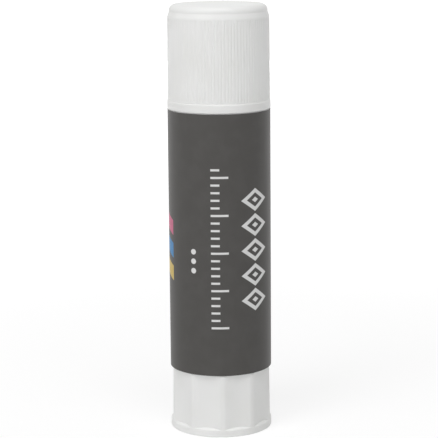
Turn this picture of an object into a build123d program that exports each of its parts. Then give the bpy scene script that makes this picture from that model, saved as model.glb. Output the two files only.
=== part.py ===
from build123d import *
import math
import os

# A twist-up glue stick: ribbed cap, wrapped barrel, fluted knob and the screw that lifts the glue.
# Millimetres. Origin at the middle of the foot, +Z up the barrel, the printed front towards -Y.

# Counts and angles
cap_groove_count = 96
land_count = 10
guide_count = 4
fin_count = 4
web_count = 5
foot_side_count = 6
nut_turns = 1.25
cap_draft = 0.33
knob_draft = 0.80
land_turn = 2.0
overlap_turn = 82.0

# Radial sizes, from the glue outwards
glue_radius = 8.25
glue_gap = 0.20
neck_wall = 0.80
cap_fit_gap = 0.15
lip_wall = 0.80
label_thickness = 0.08

# Lengths up the stick
knob_height = 12.47
knob_gap = 0.10
sleeve_length = 52.24
seat_gap = 0.05
neck_length = 9.0
cap_length = 20.5
glue_recess = 1.8

# Cap
lip_height = 1.75
lip_proud = 0.03
lip_step = 0.11
lip_bevel = 0.18
lip_edge_chamfer = 0.10
crown_height = 1.45
crown_step = 0.33
crown_round = 1.25
shoulder_height = 0.95
shoulder_round = 1.50
smooth_ring_height = 0.35
groove_depth = 0.07
groove_foot_gap = 0.15
groove_width_share = 0.55
roof_thickness = 1.0
roof_corner_chamfer = 0.60
upper_wall = 0.85
ledge_gap = 0.10
cap_mouth_chamfer = 0.25

# Snap ring on the neck and its groove in the cap
snap_height = 1.15
snap_width = 0.80
snap_rise_share = 0.65
snap_play = 0.10

# Barrel
mouth_chamfer = 0.15
guide_height = 0.40
guide_width = 1.20
guide_end_depth = 2.5
guide_start_gap = 0.15
running_gap = 0.08
barrel_lead_in = 0.25

# Label
label_margin = 0.08
overlap_width = 3.0

# Knob
knob_inset = 0.18
flute_depth = 0.55
land_width_share = 0.14
land_round = 0.80
rim_height = 1.45
rim_round = 0.30
foot_round = 0.18
flare_height = 0.45
flare_round = 0.30
knob_wall = 1.10
deck_thickness = 1.30
cavity_chamfer = 0.40
foot_recess = 1.20
web_thickness = 0.90
boss_wall = 1.30
boss_floor = 1.0
spigot_length = 4.4
spigot_wall = 1.2
spigot_chamfer = 0.30
ring_height = 2.40
ring_width = 1.00
ring_rise = 0.30
ring_play = 0.10

# Spindle
lead = 3.2
core_radius = 2.2
thread_depth = 1.0
thread_root_share = 0.56
thread_crest_share = 0.22
thread_gap = 0.12
thread_start = 0.60
collar_radius = 4.2
collar_thickness = 1.2
foot_flat_radius = 2.3
foot_chamfer = 0.40
foot_room = 0.30
press_gap = 0.02
tip_depth = 7.5
tip_chamfer = 1.2

# Carrier
stop_gap = 0.30
floor_thickness = 1.2
cup_height = 5.5
cup_wall = 0.80
grip_rise = 0.25
grip_width = 0.60
hub_wall = 0.90
hub_margin = 0.50
fin_thickness = 0.80
fin_height = 3.0

# Glue
cast_gap = 0.05
glue_bore_gap = 0.30
glue_bore_room = 1.0
glue_edge_round = 0.50

# Overrun of every cutter past the face that it opens
overrun = 1.0

# Radii that the fits settle
bore_radius = glue_radius + glue_gap
neck_radius = bore_radius + neck_wall
cap_bore_radius = neck_radius + cap_fit_gap
envelope_radius = cap_bore_radius + lip_wall
barrel_radius = envelope_radius - label_thickness
guide_radius = bore_radius - guide_height
spindle_radius = core_radius + thread_depth
nut_bore_radius = spindle_radius + thread_gap
hub_radius = nut_bore_radius + hub_wall
cup_radius = bore_radius - running_gap
cup_bore_radius = cup_radius - cup_wall
land_radius = envelope_radius - knob_inset
cavity_radius = land_radius - flute_depth - knob_wall
spigot_radius = bore_radius - running_gap
foot_corner_radius = foot_flat_radius / math.cos(math.pi / foot_side_count)
boss_radius = foot_corner_radius + press_gap + boss_wall

# Levels that the stack settles
barrel_bottom = knob_height + knob_gap
shoulder_level = barrel_bottom + sleeve_length
mouth_level = shoulder_level + neck_length
cap_bottom = shoulder_level + seat_gap
cap_top = cap_bottom + cap_length
spigot_top = knob_height + spigot_length
carrier_bottom = spigot_top + stop_gap
floor_level = carrier_bottom + floor_thickness
cup_top = floor_level + cup_height
glue_top = mouth_level - glue_recess
tip_level = mouth_level - tip_depth
deck_bottom = knob_height - deck_thickness
collar_bottom = knob_height + press_gap
collar_top = collar_bottom + collar_thickness
thread_level = collar_top + thread_start + lead * thread_root_share / 2
fin_start = 180 / guide_count


def turned(*corners):
    """Solid of revolution about Z. A corner is (radius, level) or (radius, level, rounding)."""
    points = [Vector(corner[0], corner[1]) for corner in corners]
    rounds = [corner[2] if len(corner) > 2 else 0 for corner in corners]
    outline = FilletPolyline(*points, radius=rounds, close=True)
    return revolve(Plane.XZ * make_face(outline), Axis.Z)


def upright_bar(inner, outer, width, bottom, top):
    """Straight bar along +X from one radius to another, between two levels."""
    bar = Box(outer - inner, width, top - bottom, align=(Align.MIN, Align.CENTER, Align.MIN))
    return Pos(inner, 0, bottom) * bar


def around(shape, count, start=0):
    """Copies of a shape turned evenly about Z."""
    return [Rot(0, 0, start + 360 / count * index) * shape for index in range(count)]


def ridge_share(radius):
    """Width of the spindle's ridge at a radius, as a share of the lead."""
    rise = (radius - core_radius) / thread_depth
    return thread_root_share + (thread_crest_share - thread_root_share) * rise


def groove_room(radius):
    """Width of a nut ridge that clears both flanks of the spindle's groove at a radius."""
    return lead * (1 - ridge_share(radius)) - 2 * thread_gap


def guide_track(bottom, top):
    """Cutter for the track that one guide rib of the barrel runs in."""
    width = guide_width + 2 * running_gap
    return upright_bar(guide_radius - running_gap, bore_radius + overrun, width, bottom, top)


def screw_ridge(inner, inner_width, outer, outer_width, start_level, turns):
    """Left-handed helical ridge of trapezium section, its middle starting over +X."""
    corners = [(inner, -inner_width), (outer, -outer_width), (outer, outer_width), (inner, inner_width)]
    section = Polyline(*[(radius, width / 2) for radius, width in corners], close=True)
    path = Helix(lead, lead * turns, (inner + outer) / 2, lefthand=True)
    return Pos(0, 0, start_level) * sweep(Plane.XZ * make_face(section), path=path, is_frenet=True)


# The nut thread is as thick at the hub's bore as the screw's groove allows, and sets the hub's length
nut_width = groove_room(nut_bore_radius)
hub_top = carrier_bottom + nut_turns * lead + nut_width + 2 * hub_margin


# The cap: a drafted shell with a smooth ring, upright grooves and a lip band that seats on the barrel
def make_cap():
    lip_top = cap_bottom + lip_height
    crown_level = cap_top - crown_height
    wall_top = crown_level - shoulder_height
    lean = (wall_top - lip_top) * math.tan(math.radians(cap_draft))
    lip_radius = envelope_radius + lip_proud
    wall_foot = lip_radius - lip_step
    wall_head = wall_foot - lean
    crown_radius = wall_head - crown_step
    roof_level = cap_top - roof_thickness
    ledge_level = mouth_level + ledge_gap
    upper_radius = wall_head - upper_wall
    snap_level = shoulder_level + snap_height
    snap_radius = cap_bore_radius + cap_fit_gap * snap_rise_share
    half_snap = snap_width / 2 + snap_play
    shell = turned(
        (0, cap_top),
        (crown_radius, cap_top, crown_round),
        (crown_radius, crown_level),
        (wall_head, wall_top, shoulder_round),
        (wall_foot, lip_top),
        (lip_radius, lip_top - lip_bevel),
        (lip_radius, cap_bottom + lip_edge_chamfer),
        (lip_radius - lip_edge_chamfer, cap_bottom),
        (cap_bore_radius + cap_mouth_chamfer, cap_bottom),
        (cap_bore_radius, cap_bottom + cap_mouth_chamfer),
        (cap_bore_radius, snap_level - half_snap),
        (snap_radius, snap_level - half_snap / 2),
        (snap_radius, snap_level + half_snap / 2),
        (cap_bore_radius, snap_level + half_snap),
        (cap_bore_radius, ledge_level),
        (upper_radius, ledge_level),
        (upper_radius, roof_level - roof_corner_chamfer),
        (upper_radius - roof_corner_chamfer, roof_level),
        (0, roof_level),
    )
    pitch = math.tau * wall_foot / cap_groove_count
    half_width = pitch * groove_width_share / 2
    outer_half = half_width * (groove_depth + lip_step) / groove_depth
    notch = Polyline((-groove_depth, 0), (lip_step, -outer_half), (lip_step, outer_half), close=True)
    groove_length = wall_top - smooth_ring_height - lip_top - groove_foot_gap
    on_wall = Pos(wall_foot, 0, lip_top) * Rot(0, -cap_draft, 0) * Pos(0, 0, groove_foot_gap)
    groove = on_wall * extrude(make_face(notch), groove_length)
    return shell - around(groove, cap_groove_count)


# The barrel: one bore from end to end, a narrower neck with a snap ring, and guide ribs in the bore
def make_barrel():
    snap_level = shoulder_level + snap_height
    snap_radius = neck_radius + cap_fit_gap * snap_rise_share
    ring_level = knob_height + ring_height
    half_ring = ring_width / 2 + ring_play
    ring_radius = bore_radius + ring_rise
    tube = turned(
        (bore_radius + barrel_lead_in, barrel_bottom),
        (barrel_radius, barrel_bottom),
        (barrel_radius, shoulder_level),
        (neck_radius, shoulder_level),
        (neck_radius, snap_level - snap_width / 2),
        (snap_radius, snap_level - snap_width / 4),
        (snap_radius, snap_level + snap_width / 4),
        (neck_radius, snap_level + snap_width / 2),
        (neck_radius, mouth_level - mouth_chamfer),
        (neck_radius - mouth_chamfer, mouth_level),
        (bore_radius + mouth_chamfer, mouth_level),
        (bore_radius, mouth_level - mouth_chamfer),
        (bore_radius, ring_level + half_ring),
        (ring_radius, ring_level + half_ring / 2),
        (ring_radius, ring_level - half_ring / 2),
        (bore_radius, ring_level - half_ring),
        (bore_radius, barrel_bottom + barrel_lead_in),
    )
    middle_radius = (bore_radius + neck_radius) / 2
    guide_bottom = spigot_top + guide_start_gap
    guide_top = mouth_level - guide_end_depth
    guide = upright_bar(guide_radius, middle_radius, guide_width, guide_bottom, guide_top)
    return tube + around(guide, guide_count)


# The label: a thin film wrapped round the barrel, its end lapped over its start at the back
def make_label():
    bottom = barrel_bottom + label_margin
    top = shoulder_level - label_margin
    wrap = turned(
        (barrel_radius, bottom), (envelope_radius, bottom), (envelope_radius, top), (barrel_radius, top)
    )
    lap_outer = envelope_radius + label_thickness
    lap_middle = envelope_radius - label_thickness / 2
    section = make_face(
        Polyline((lap_middle, bottom), (lap_outer, bottom), (lap_outer, top), (lap_middle, top), close=True)
    )
    lap_angle = math.degrees(overlap_width / envelope_radius)
    lap = revolve(Plane.XZ * section, Axis.Z, revolution_arc=lap_angle)
    return wrap + Rot(0, 0, overlap_turn) * lap


def knob_outline(radius):
    """Cross-section of the knob's grip: rounded lands with a concave flute between each two."""
    pitch = 360 / land_count
    half_land = pitch * land_width_share / 2
    edges = []
    for index in range(land_count):
        middle = index * pitch
        land = [middle - half_land, middle, middle + half_land]
        flute = [middle + half_land, middle + pitch / 2, middle + pitch - half_land]
        edges.append(ThreePointArc(*[Vector(radius, 0).rotate(Axis.Z, angle) for angle in land]))
        depths = [0, flute_depth, 0]
        spots = [Vector(radius - depth, 0).rotate(Axis.Z, angle) for depth, angle in zip(depths, flute)]
        edges.append(ThreePointArc(*spots))
    face = make_face(edges)
    return fillet(face.vertices(), land_round)


# The knob: fluted grip over a flared foot rim, open below, with a spigot that snaps into the barrel
def make_knob():
    grip_bottom = rim_height / 2
    lean = (knob_height - grip_bottom) * math.tan(math.radians(knob_draft))
    flute_radius = land_radius - flute_depth
    grip = loft(
        [
            Pos(0, 0, grip_bottom) * knob_outline(land_radius + lean),
            Pos(0, 0, knob_height) * knob_outline(land_radius),
        ],
        ruled=True,
    )
    flare_top = rim_height + flare_height
    rim = turned(
        (0, 0),
        (envelope_radius, 0, foot_round),
        (envelope_radius, rim_height, rim_round),
        (flute_radius, flare_top, flare_round),
        (flute_radius, flare_top + flare_height),
        (0, flare_top + flare_height),
    )
    cavity = turned(
        (0, -overrun),
        (cavity_radius, -overrun),
        (cavity_radius, deck_bottom - cavity_chamfer),
        (cavity_radius - cavity_chamfer, deck_bottom),
        (0, deck_bottom),
    )
    ring_level = knob_height + ring_height
    ring_radius = spigot_radius + ring_rise
    spigot_bore = spigot_radius - spigot_wall
    spigot_foot = knob_height - deck_thickness / 2
    spigot = turned(
        (spigot_bore, spigot_foot),
        (spigot_radius, spigot_foot),
        (spigot_radius, ring_level - ring_width / 2),
        (ring_radius, ring_level - ring_width / 4),
        (ring_radius, ring_level + ring_width / 4),
        (spigot_radius, ring_level + ring_width / 2),
        (spigot_radius, spigot_top - spigot_chamfer),
        (spigot_radius - spigot_chamfer, spigot_top),
        (spigot_bore, spigot_top),
    )
    boss = Pos(0, 0, foot_recess) * Cylinder(
        boss_radius, knob_height - foot_recess, align=(Align.CENTER, Align.CENTER, Align.MIN)
    )
    web_outer = (cavity_radius + flute_radius) / 2
    web_top = knob_height - deck_thickness / 2
    web = upright_bar(boss_radius / 2, web_outer, web_thickness, foot_recess, web_top)
    body = grip + rim - cavity + spigot + boss + around(web, web_count)
    socket_bottom = foot_recess + boss_floor
    socket_face = RegularPolygon(foot_flat_radius + press_gap, foot_side_count, major_radius=False)
    socket = Pos(0, 0, socket_bottom) * extrude(socket_face, spigot_top - socket_bottom)
    return Rot(0, 0, land_turn - 90) * body - socket


# The spindle: hexagonal foot pressed into the knob, a collar on its deck, and the lifting thread
def make_spindle():
    foot_bottom = foot_recess + boss_floor + foot_room
    foot_face = RegularPolygon(foot_flat_radius, foot_side_count, major_radius=False)
    foot = Pos(0, 0, foot_bottom) * extrude(foot_face, collar_top - foot_bottom)
    foot_cone = turned(
        (0, foot_bottom),
        (foot_corner_radius - foot_chamfer, foot_bottom),
        (foot_corner_radius, foot_bottom + foot_chamfer),
        (foot_corner_radius, collar_top),
        (0, collar_top),
    )
    shank = turned(
        (0, collar_bottom),
        (collar_radius, collar_bottom),
        (collar_radius, collar_top),
        (core_radius, collar_top),
        (core_radius, tip_level),
        (0, tip_level),
    )
    sunk_radius = core_radius - thread_depth / 4
    sunk_width = lead * ridge_share(sunk_radius)
    turns = (tip_level - thread_level) / lead
    ridge = screw_ridge(sunk_radius, sunk_width, spindle_radius, lead * thread_crest_share, thread_level, turns)
    tip_radius = core_radius - tip_chamfer / 2
    widest = spindle_radius + collar_radius
    tip_cone = turned(
        (0, collar_bottom),
        (widest, collar_bottom),
        (widest, tip_level - (widest - tip_radius)),
        (tip_radius, tip_level),
        (0, tip_level),
    )
    return ((shank + ridge) & tip_cone) + (foot & foot_cone)


# The carrier: the cup that grips the glue, with notches on the guide ribs and a nut thread in its hub
def make_carrier():
    cup = turned(
        (nut_bore_radius, carrier_bottom),
        (cup_radius, carrier_bottom),
        (cup_radius, cup_top),
        (cup_bore_radius - grip_rise, cup_top),
        (cup_bore_radius - grip_rise, cup_top - grip_width / 2),
        (cup_bore_radius, cup_top - grip_width),
        (cup_bore_radius, floor_level),
        (hub_radius, floor_level),
        (hub_radius, hub_top),
        (nut_bore_radius, hub_top),
    )
    fin_inner = (nut_bore_radius + hub_radius) / 2
    fin_outer = (cup_bore_radius + cup_radius) / 2
    fin_bottom = carrier_bottom + floor_thickness / 2
    fin = upright_bar(fin_inner, fin_outer, fin_thickness, fin_bottom, floor_level + fin_height)
    nut_start = carrier_bottom + hub_margin + nut_width / 2
    nut_phase = 360 * ((thread_level - nut_start) / lead + 1 / 2)
    nut_tip = core_radius + thread_gap
    nut_root = nut_bore_radius + hub_wall / 2
    nut_ridge = screw_ridge(
        nut_tip, groove_room(nut_tip), nut_root, groove_room(nut_root), nut_start, nut_turns
    )
    notch = guide_track(carrier_bottom - overrun, cup_top + overrun)
    solid = cup + around(fin, fin_count, fin_start) + Rot(0, 0, nut_phase) * nut_ridge
    return solid - around(notch, guide_count)


# The glue: a cast stick that fills the cup round the hub and fins, bored for the spindle
def make_glue():
    plug_radius = cup_bore_radius - cast_gap
    waist_radius = plug_radius - grip_rise
    hub_bore = hub_radius + cast_gap
    screw_bore = spindle_radius + glue_bore_gap
    bore_top = tip_level + glue_bore_room
    stick = turned(
        (hub_bore, floor_level + cast_gap),
        (plug_radius, floor_level + cast_gap),
        (plug_radius, cup_top - grip_width - cast_gap),
        (waist_radius, cup_top - grip_width / 2 - cast_gap),
        (waist_radius, cup_top + cast_gap),
        (glue_radius, cup_top + cast_gap),
        (glue_radius, glue_top, glue_edge_round),
        (0, glue_top),
        (0, bore_top),
        (screw_bore, bore_top),
        (screw_bore, hub_top + cast_gap),
        (hub_bore, hub_top + cast_gap),
    )
    fin_width = fin_thickness + 2 * cast_gap
    fin_top = floor_level + fin_height + cast_gap
    fin = upright_bar(hub_radius, cup_radius, fin_width, carrier_bottom, fin_top)
    track = guide_track(cup_top, glue_top + overrun)
    return stick - around(fin, fin_count, fin_start) - around(track, guide_count)


parts = {
    "cap": make_cap(),
    "barrel": make_barrel(),
    "label": make_label(),
    "knob": make_knob(),
    "spindle": make_spindle(),
    "carrier": make_carrier(),
    "glue_block": make_glue(),
}
os.makedirs("parts", exist_ok=True)
for name, shape in parts.items():
    export_step(shape, f"parts/{name}.step")
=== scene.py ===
import bpy
import math
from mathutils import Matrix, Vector


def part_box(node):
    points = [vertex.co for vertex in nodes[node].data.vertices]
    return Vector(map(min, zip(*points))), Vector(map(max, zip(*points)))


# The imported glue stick: every plastic piece and the glue come from it at their real size, in metres.
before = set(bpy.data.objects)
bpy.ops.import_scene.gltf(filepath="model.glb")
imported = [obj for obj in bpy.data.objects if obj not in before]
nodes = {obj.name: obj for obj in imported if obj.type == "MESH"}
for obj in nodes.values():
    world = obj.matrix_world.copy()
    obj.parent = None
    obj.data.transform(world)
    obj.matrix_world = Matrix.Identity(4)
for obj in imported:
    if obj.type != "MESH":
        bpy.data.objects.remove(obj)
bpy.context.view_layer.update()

# The barrel: the tube that carries every other piece, with a narrower neck for the cap. It is moulded
# in white polypropylene, and its satin is the fine spark-eroded grain of the mould.
MILLIMETRE = 0.001
RESIN_WHITE = (0.795, 0.797, 0.789, 1.0)
RESIN_SHADE = (0.764, 0.766, 0.752, 1.0)
RESIN_SHADE_SPAN = (0.35, 0.75)
CLOUD_DETAIL = 3.0
RESIN_FLOW_PER_METRE = 90.0
RESIN_FLOW_GLOSS = 0.05
RESIN_GRAIN_PER_METRE = 5200.0
RESIN_GRAIN_DETAIL = 2.0
RESIN_GRAIN_DEPTH = 0.002 * MILLIMETRE
FULL_BUMP = 1.0
RESIN_RUB_PER_METRE = 1500.0
RESIN_RUB_STRETCH = (1.0, 1.0, 0.07)
RESIN_RUB_GLOSS = 0.07
RESIN_BODY_GLOW = 0.08
RESIN_BODY_DEPTH = 0.8 * MILLIMETRE
GLOW_REACH_BY_COLOUR = (1.0, 1.0, 0.9)
RESIN_IOR = 1.49
RESIN_SHEEN = 0.4
BARREL_ROUGHNESS = 0.35


def add_node(tree, kind, **settings):
    node = tree.nodes.new(kind)
    for name, value in settings.items():
        setattr(node, name, value)
    return node


def feed(tree, node, *values):
    """Sets a node's inputs in order: a socket is linked, a number or colour is set, None is left."""
    for socket, value in zip(node.inputs, values):
        if isinstance(value, bpy.types.NodeSocket):
            tree.links.new(value, socket)
        elif value is not None:
            socket.default_value = value
    return node


def sums(tree, operation, *values):
    return feed(tree, add_node(tree, "ShaderNodeMath", operation=operation), *values).outputs[0]


def soft_step(tree, value, low, high):
    """0 below low and 1 above high, with a smooth edge between."""
    node = add_node(tree, "ShaderNodeMapRange", interpolation_type="SMOOTHSTEP")
    return feed(tree, node, value, low, high, 0.0, 1.0).outputs[0]


def blend_colours(tree, share, first, second):
    """The Mix node in its colour form: its sockets 0, 6 and 7 are the share and the two colours."""
    node = add_node(tree, "ShaderNodeMix", data_type="RGBA")
    for place, value in ((0, share), (6, first), (7, second)):
        if isinstance(value, bpy.types.NodeSocket):
            tree.links.new(value, node.inputs[place])
        else:
            node.inputs[place].default_value = value
    return node.outputs[2]


def cloud(tree, place, grains_per_metre, detail=CLOUD_DETAIL):
    """Even noise from 0 to 1 whose grain is a real size."""
    noise = add_node(tree, "ShaderNodeTexNoise")
    tree.links.new(place, noise.inputs["Vector"])
    noise.inputs["Scale"].default_value = grains_per_metre
    noise.inputs["Detail"].default_value = detail
    return noise.outputs["Fac"]


def new_finish(name):
    """A new material, with its node tree, its shader and the place on the piece in metres."""
    material = bpy.data.materials.new(name)
    material.use_nodes = True
    tree = material.node_tree
    shader = tree.nodes["Principled BSDF"]
    place = add_node(tree, "ShaderNodeTexCoord").outputs["Object"]
    return material, tree, shader, place


def rough_surface(tree, shader, height, depth):
    bump = add_node(tree, "ShaderNodeBump")
    bump.inputs["Strength"].default_value = FULL_BUMP
    bump.inputs["Distance"].default_value = depth
    tree.links.new(height, bump.inputs["Height"])
    tree.links.new(bump.outputs["Normal"], shader.inputs["Normal"])


def body_glow(shader, share, depth):
    """Light that goes a little way into the plastic or the glue and comes out again."""
    shader.inputs["Subsurface Weight"].default_value = share
    shader.inputs["Subsurface Radius"].default_value = GLOW_REACH_BY_COLOUR
    shader.inputs["Subsurface Scale"].default_value = depth


def white_resin(name, roughness):
    """Satin resin: faint flow marks, a fine grain, and upright rubs where hands and the cap slide."""
    material, tree, shader, place = new_finish(name)
    flow = cloud(tree, place, RESIN_FLOW_PER_METRE)
    shade = soft_step(tree, flow, *RESIN_SHADE_SPAN)
    tree.links.new(blend_colours(tree, shade, RESIN_WHITE, RESIN_SHADE), shader.inputs["Base Color"])
    stretched = feed(tree, add_node(tree, "ShaderNodeMapping"), place, None, None, RESIN_RUB_STRETCH)
    rubs = cloud(tree, stretched.outputs["Vector"], RESIN_RUB_PER_METRE)
    duller = sums(tree, "MULTIPLY_ADD", rubs, RESIN_RUB_GLOSS, roughness - RESIN_RUB_GLOSS / 2)
    spread = sums(tree, "MULTIPLY_ADD", flow, RESIN_FLOW_GLOSS, duller)
    tree.links.new(spread, shader.inputs["Roughness"])
    shader.inputs["IOR"].default_value = RESIN_IOR
    shader.inputs["Specular IOR Level"].default_value = RESIN_SHEEN
    body_glow(shader, RESIN_BODY_GLOW, RESIN_BODY_DEPTH)
    grain = cloud(tree, place, RESIN_GRAIN_PER_METRE, RESIN_GRAIN_DETAIL)
    rough_surface(tree, shader, grain, RESIN_GRAIN_DEPTH)
    return material


def finish_piece(name, material):
    for slot in nodes[name].material_slots:
        slot.material = material


finish_piece("barrel", white_resin("barrel_polypropylene", BARREL_ROUGHNESS))

# The label: a printed satin film wrapped round the barrel, its end lapped over its start at the back.
# The print is plain: outlined lozenges, a scale of ticks, three dots and a stack of coloured bars.
FILM_INK = (0.0755, 0.0725, 0.0690, 1.0)
FILM_INK_WORN = (0.083, 0.080, 0.0765, 1.0)
FILM_CUT_EDGE = (0.22, 0.22, 0.215, 1.0)
PRINT_GREY = (0.70, 0.70, 0.695, 1.0)
BAR_PINK = (0.55, 0.13, 0.23, 1.0)
BAR_YELLOW = (0.58, 0.43, 0.12, 1.0)
BAR_BLUE = (0.05, 0.22, 0.46, 1.0)
FILM_RADIUS_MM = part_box("label")[1].x / MILLIMETRE
FILM_LOW_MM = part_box("label")[0].z / MILLIMETRE
FILM_IOR = 1.45
FILM_SHEEN = 0.24
FILM_ROUGHNESS = 0.38
FILM_ROUGHNESS_SPREAD = 0.10
FILM_SCUFFS_PER_METRE = 300.0
FILM_SCUFF_DETAIL = 5.0
FILM_SCUFF_SPAN = (0.35, 0.75)
FILM_WRINKLES_PER_METRE = 160.0
FILM_WRINKLE_DETAIL = 1.0
FILM_WRINKLE_DEPTH = 0.02 * MILLIMETRE
PRINT_EDGE_MM = 0.05
LAP_EDGE_TURN = math.radians(98.8)
LAP_LINE_MM = 0.04

LOZENGE_COUNT = 5
LOZENGE_PITCH_MM = 5.0
LOZENGE_HALF_WIDTH_MM = 3.6
LOZENGE_GAP_MM = 0.21
LOZENGE_RING_MM = 0.88
LOZENGE_CORE_MM = 0.56
LOZENGE_MIDDLE_MM = (7.6, 25.0)

TICK_PITCH_MM = 1.5
TICK_THICKNESS_MM = 0.42
TICK_FOOT_MM = -1.8
TICK_SHORT_MM = 1.75
TICK_LONG_MM = 3.5
TICK_SPAN_MM = (9.0, 42.0)
TICKS_PER_LONG = 5

DOT_COUNT = 3
DOT_RADIUS_MM = 0.55
DOT_PITCH_MM = 1.9
DOT_MIDDLE_MM = (-5.5, 23.0)

BAR_HEIGHT_MM = 3.0
BAR_PITCH_MM = 4.6
BAR_SLANT = 0.35
BAR_SPAN_MM = (-18.5, -11.6)
BAR_MIDDLE_MM = 25.5


def inside(tree, distance):
    """1 where a signed distance in millimetres is negative, with a crisp printed edge."""
    return soft_step(tree, sums(tree, "MULTIPLY", distance, -1.0), -PRINT_EDGE_MM, PRINT_EDGE_MM)


def band(tree, value, low, high):
    """Signed distance to the span from low to high."""
    from_middle = sums(tree, "ABSOLUTE", sums(tree, "SUBTRACT", value, (low + high) / 2))
    return sums(tree, "SUBTRACT", from_middle, (high - low) / 2)


def both(tree, first, second):
    """Signed distance to the overlap of two printed shapes."""
    return sums(tree, "MAXIMUM", first, second)


def either(tree, first, second):
    """Signed distance to two printed shapes together."""
    return sums(tree, "MINIMUM", first, second)


def pitches(tree, value, start, pitch):
    """How many pitches past the start, and how far from the middle of its own pitch, from -0.5 to 0.5."""
    along = sums(tree, "DIVIDE", sums(tree, "SUBTRACT", value, start), pitch)
    return along, sums(tree, "SUBTRACT", sums(tree, "FRACT", along), 0.5)


def lozenge_row(tree, across, height):
    start = LOZENGE_MIDDLE_MM[1] - LOZENGE_COUNT * LOZENGE_PITCH_MM / 2
    along, off_middle = pitches(tree, height, start, LOZENGE_PITCH_MM)
    upward = sums(tree, "MULTIPLY", sums(tree, "ABSOLUTE", off_middle), LOZENGE_PITCH_MM)
    sideways = sums(tree, "ABSOLUTE", sums(tree, "SUBTRACT", across, LOZENGE_MIDDLE_MM[0]))
    slope = LOZENGE_PITCH_MM / 2 / LOZENGE_HALF_WIDTH_MM
    from_centre = sums(tree, "MULTIPLY_ADD", sideways, slope, upward)
    ring_outside = LOZENGE_PITCH_MM / 2 - LOZENGE_GAP_MM
    ring = band(tree, from_centre, ring_outside - LOZENGE_RING_MM, ring_outside)
    core = sums(tree, "SUBTRACT", from_centre, LOZENGE_CORE_MM)
    return both(tree, either(tree, ring, core), band(tree, along, 0.0, float(LOZENGE_COUNT)))


def tick_scale(tree, across, height):
    """Short ticks with a long one in each five, all from one foot line."""
    along, off_middle = pitches(tree, height, TICK_SPAN_MM[0], TICK_PITCH_MM)
    thickness = sums(tree, "ABSOLUTE", off_middle)
    thickness = sums(tree, "MULTIPLY_ADD", thickness, TICK_PITCH_MM, -TICK_THICKNESS_MM / 2)
    place_in_five = sums(tree, "FRACT", sums(tree, "DIVIDE", along, float(TICKS_PER_LONG)))
    is_long = sums(tree, "LESS_THAN", place_in_five, 1 / TICKS_PER_LONG)
    extra = TICK_LONG_MM - TICK_SHORT_MM
    tip = sums(tree, "MULTIPLY_ADD", is_long, extra, TICK_FOOT_MM + TICK_SHORT_MM)
    past_tip = sums(tree, "SUBTRACT", across, tip)
    before_foot = sums(tree, "SUBTRACT", TICK_FOOT_MM, across)
    ticks = both(tree, thickness, both(tree, past_tip, before_foot))
    return both(tree, ticks, band(tree, height, *TICK_SPAN_MM))


def dot_row(tree, across, height):
    start = DOT_MIDDLE_MM[1] - DOT_COUNT * DOT_PITCH_MM / 2
    along, off_middle = pitches(tree, height, start, DOT_PITCH_MM)
    upward = sums(tree, "POWER", sums(tree, "MULTIPLY", off_middle, DOT_PITCH_MM), 2.0)
    sideways = sums(tree, "POWER", sums(tree, "SUBTRACT", across, DOT_MIDDLE_MM[0]), 2.0)
    from_centre = sums(tree, "SQRT", sums(tree, "ADD", upward, sideways))
    dot = sums(tree, "SUBTRACT", from_centre, DOT_RADIUS_MM)
    return both(tree, dot, band(tree, along, 0.0, float(DOT_COUNT)))


def slanted_bar(tree, across, height, place_in_stack):
    tilted = sums(tree, "MULTIPLY_ADD", across, BAR_SLANT, height)
    middle = BAR_MIDDLE_MM + place_in_stack * BAR_PITCH_MM + BAR_SLANT * sum(BAR_SPAN_MM) / 2
    bar = band(tree, tilted, middle - BAR_HEIGHT_MM / 2, middle + BAR_HEIGHT_MM / 2)
    return both(tree, bar, band(tree, across, *BAR_SPAN_MM))


def printed_film():
    """The label's art is laid out unrolled: across is the way round from the front, height is upward."""
    material, tree, shader, place = new_finish("printed_film")
    axes = feed(tree, add_node(tree, "ShaderNodeSeparateXYZ"), place).outputs
    turn = sums(tree, "ARCTAN2", axes["X"], sums(tree, "MULTIPLY", axes["Y"], -1.0))
    across = sums(tree, "MULTIPLY", turn, FILM_RADIUS_MM)
    height = sums(tree, "MULTIPLY_ADD", axes["Z"], 1 / MILLIMETRE, -FILM_LOW_MM)
    scuffs = cloud(tree, place, FILM_SCUFFS_PER_METRE, FILM_SCUFF_DETAIL)
    worn = soft_step(tree, scuffs, *FILM_SCUFF_SPAN)
    colour = blend_colours(tree, worn, FILM_INK, FILM_INK_WORN)
    grey_print = either(tree, lozenge_row(tree, across, height), tick_scale(tree, across, height))
    grey_print = either(tree, grey_print, dot_row(tree, across, height))
    colour = blend_colours(tree, inside(tree, grey_print), colour, PRINT_GREY)
    for place_in_stack, bar_colour in enumerate((BAR_YELLOW, BAR_BLUE, BAR_PINK), start=-1):
        bar = slanted_bar(tree, across, height, place_in_stack)
        colour = blend_colours(tree, inside(tree, bar), colour, bar_colour)
    # The cut end of the film shows at the back as a thin pale line.
    back_turn = sums(tree, "ARCTAN2", axes["Y"], axes["X"])
    from_lap = sums(tree, "MULTIPLY", sums(tree, "SUBTRACT", back_turn, LAP_EDGE_TURN), FILM_RADIUS_MM)
    lap_line = band(tree, from_lap, -LAP_LINE_MM, LAP_LINE_MM)
    colour = blend_colours(tree, inside(tree, lap_line), colour, FILM_CUT_EDGE)
    tree.links.new(colour, shader.inputs["Base Color"])
    roughness = sums(tree, "MULTIPLY_ADD", scuffs, FILM_ROUGHNESS_SPREAD, FILM_ROUGHNESS)
    tree.links.new(roughness, shader.inputs["Roughness"])
    shader.inputs["IOR"].default_value = FILM_IOR
    shader.inputs["Specular IOR Level"].default_value = FILM_SHEEN
    wrinkles = cloud(tree, place, FILM_WRINKLES_PER_METRE, FILM_WRINKLE_DETAIL)
    rough_surface(tree, shader, wrinkles, FILM_WRINKLE_DEPTH)
    return material


finish_piece("label", printed_film())

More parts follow.
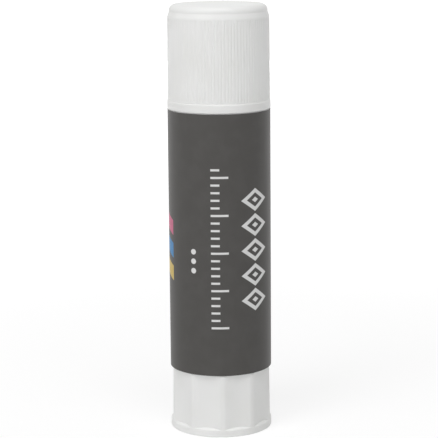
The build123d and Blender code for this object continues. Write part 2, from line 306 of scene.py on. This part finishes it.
# The carrier: the lifting cup with the nut thread in its hub. It is moulded in the same resin in
# a polished mould, so it is a little glossier, and it slides up the barrel on the guide ribs.
CARRIER_ROUGHNESS = 0.30
finish_piece("carrier", white_resin("carrier_polypropylene", CARRIER_ROUGHNESS))

# The knob: the fluted base that the stick stands on and that turns to raise the glue. It is moulded
# in the barrel's resin and snaps into the barrel's foot.
KNOB_ROUGHNESS = 0.36
finish_piece("knob", white_resin("knob_polypropylene", KNOB_ROUGHNESS))

# The spindle: the long left-handed screw that lifts the carrier, moulded in the same resin.
# Its foot is pressed into the knob's boss, so the two turn together.
SPINDLE_ROUGHNESS = 0.42
finish_piece("spindle", white_resin("spindle_polypropylene", SPINDLE_ROUGHNESS))

# The glue: a stick of white adhesive, poured hot into the carrier round the spindle. It is waxy, a little
# see-through, and uneven where it cooled against the tube.
GLUE_WHITE = (0.83, 0.83, 0.80, 1.0)
GLUE_SHADE = (0.74, 0.745, 0.71, 1.0)
GLUE_SHADE_SPAN = (0.3, 0.8)
GLUE_PATCHES_PER_METRE = 240.0
GLUE_RIPPLES_PER_METRE = 900.0
GLUE_RIPPLE_DETAIL = 4.0
GLUE_RIPPLE_DEPTH = 0.03 * MILLIMETRE
GLUE_ROUGHNESS = 0.22
GLUE_ROUGHNESS_SPREAD = 0.15
GLUE_BODY_GLOW = 0.35
GLUE_BODY_DEPTH = 1.5 * MILLIMETRE
GLUE_IOR = 1.45


def waxy_glue():
    material, tree, shader, place = new_finish("waxy_glue")
    patches = cloud(tree, place, GLUE_PATCHES_PER_METRE)
    tint = blend_colours(tree, soft_step(tree, patches, *GLUE_SHADE_SPAN), GLUE_WHITE, GLUE_SHADE)
    tree.links.new(tint, shader.inputs["Base Color"])
    roughness = sums(tree, "MULTIPLY_ADD", patches, GLUE_ROUGHNESS_SPREAD, GLUE_ROUGHNESS)
    tree.links.new(roughness, shader.inputs["Roughness"])
    shader.inputs["IOR"].default_value = GLUE_IOR
    body_glow(shader, GLUE_BODY_GLOW, GLUE_BODY_DEPTH)
    ripples = cloud(tree, place, GLUE_RIPPLES_PER_METRE, GLUE_RIPPLE_DETAIL)
    rough_surface(tree, shader, ripples, GLUE_RIPPLE_DEPTH)
    return material


finish_piece("glue_block", waxy_glue())

# The cap: the ribbed cover that keeps the glue from drying, moulded in the barrel's resin with its ribs,
# crown and lip cut in one mould. It snaps over the barrel's neck.
CAP_ROUGHNESS = 0.37
finish_piece("cap", white_resin("cap_polypropylene", CAP_ROUGHNESS))

# The studio floor: a sheet of pale paper, lit like the stick. The camera and the gloss of the pieces
# see it as near white, with the stick's soft shadow on it.
FLOOR_SIZE = 3.0
PAPER_WHITE = (0.88, 0.88, 0.88, 1.0)
PAPER_SEEN = (0.30, 0.30, 0.30, 1.0)
PAPER_GLOW_NEAR = 0.72
PAPER_GLOW_FAR = 1.0
PAPER_GLOW_SPAN = (0.06, 0.40)
PURE_WHITE = (1.0, 1.0, 1.0, 1.0)


def seen_rays(tree):
    """1 for rays from the camera and for rays that a glossy or clear surface sends on, else 0."""
    rays = add_node(tree, "ShaderNodeLightPath").outputs
    seen = sums(tree, "MAXIMUM", rays["Is Camera Ray"], rays["Is Glossy Ray"])
    return sums(tree, "MAXIMUM", seen, rays["Is Transmission Ray"])


def studio_paper():
    material = bpy.data.materials.new("studio_paper")
    material.use_nodes = True
    tree = material.node_tree
    tree.nodes.clear()
    place = add_node(tree, "ShaderNodeTexCoord").outputs["Object"]
    distance = feed(tree, add_node(tree, "ShaderNodeVectorMath", operation="LENGTH"), place)
    far = soft_step(tree, distance.outputs["Value"], *PAPER_GLOW_SPAN)
    strength = sums(tree, "MULTIPLY_ADD", far, PAPER_GLOW_FAR - PAPER_GLOW_NEAR, PAPER_GLOW_NEAR)
    glow = feed(tree, add_node(tree, "ShaderNodeEmission"), PURE_WHITE, strength)
    shaded = feed(tree, add_node(tree, "ShaderNodeBsdfDiffuse"), PAPER_SEEN)
    seen_paper = feed(tree, add_node(tree, "ShaderNodeAddShader"), shaded.outputs[0], glow.outputs[0])
    lit_paper = feed(tree, add_node(tree, "ShaderNodeBsdfDiffuse"), PAPER_WHITE)
    mix = feed(tree, add_node(tree, "ShaderNodeMixShader"), seen_rays(tree), lit_paper.outputs[0],
               seen_paper.outputs[0])
    feed(tree, add_node(tree, "ShaderNodeOutputMaterial"), mix.outputs[0])
    return material


bpy.ops.mesh.primitive_plane_add(size=FLOOR_SIZE)
floor = bpy.context.object
floor.name = "studio_floor"
floor.data.materials.append(studio_paper())

# The room's light: an even pale grey from all round. The camera and the gloss of the pieces see
# plain white there, as in the photograph.
AMBIENT_STRENGTH = 0.43
BACKDROP_STRENGTH = 1.0

world = bpy.data.worlds.new("studio_world")
bpy.context.scene.world = world
world.use_nodes = True
world_tree = world.node_tree
world_tree.nodes.clear()
ambient = feed(world_tree, add_node(world_tree, "ShaderNodeBackground"), PURE_WHITE, AMBIENT_STRENGTH)
backdrop = feed(world_tree, add_node(world_tree, "ShaderNodeBackground"), PURE_WHITE, BACKDROP_STRENGTH)
mix = feed(world_tree, add_node(world_tree, "ShaderNodeMixShader"), seen_rays(world_tree),
           ambient.outputs[0], backdrop.outputs[0])
feed(world_tree, add_node(world_tree, "ShaderNodeOutputWorld"), mix.outputs[0])

# The lamps: a wide soft box overhead and in front, a weaker key from the front left, and a weak fill
# low down behind, which leaves no highlight. Each is aimed at the middle of the stick.
AIM = Vector((-0.00017, 0.0, 0.04238))
OVERHEAD_PLACE = (-0.05, -0.40, 0.95)
OVERHEAD_SIZE = (0.9, 0.5)
OVERHEAD_WATTS = 5.0
KEY_PLACE = (-0.55, -0.70, 0.55)
KEY_SIZE = (0.5, 0.7)
KEY_WATTS = 2.2
BACK_PLACE = (0.0, 0.75, 0.05)
BACK_SIZE = (0.8, 0.08)
BACK_WATTS = 1.2


def soft_box(name, place, size, watts):
    light = bpy.data.lights.new(name, "AREA")
    light.shape = "RECTANGLE"
    light.size, light.size_y = size
    light.energy = watts
    lamp = bpy.data.objects.new(name, light)
    lamp.location = place
    lamp.rotation_euler = (AIM - Vector(place)).to_track_quat("-Z", "Y").to_euler()
    bpy.context.scene.collection.objects.link(lamp)
    return lamp


soft_box("overhead_light", OVERHEAD_PLACE, OVERHEAD_SIZE, OVERHEAD_WATTS)
soft_box("key_light", KEY_PLACE, KEY_SIZE, KEY_WATTS)
soft_box("back_light", BACK_PLACE, BACK_SIZE, BACK_WATTS).visible_glossy = False

# The camera: in front of the stick and a little above its top, with a long lens, rolled by half a degree.
CAMERA_DISTANCE = 0.3501
CAMERA_HEIGHT = 0.10888
CAMERA_ROLL = math.radians(0.47)
LENS_PIXELS = 1778.7
IMAGE_PIXELS = 438
SENSOR_WIDTH_MM = 36.0
NEAREST_SEEN = 0.01

camera_data = bpy.data.cameras.new("camera")
camera_data.sensor_width = SENSOR_WIDTH_MM
camera_data.lens = SENSOR_WIDTH_MM * LENS_PIXELS / IMAGE_PIXELS
camera_data.clip_start = NEAREST_SEEN
camera = bpy.data.objects.new("camera", camera_data)
camera.location = (AIM.x, -CAMERA_DISTANCE, CAMERA_HEIGHT)
camera.rotation_euler = (AIM - camera.location).to_track_quat("-Z", "Y").to_euler()
camera.rotation_euler.rotate_axis("Z", -CAMERA_ROLL)
bpy.context.scene.collection.objects.link(camera)
bpy.context.scene.camera = camera
bpy.context.scene.view_settings.view_transform = "Standard"
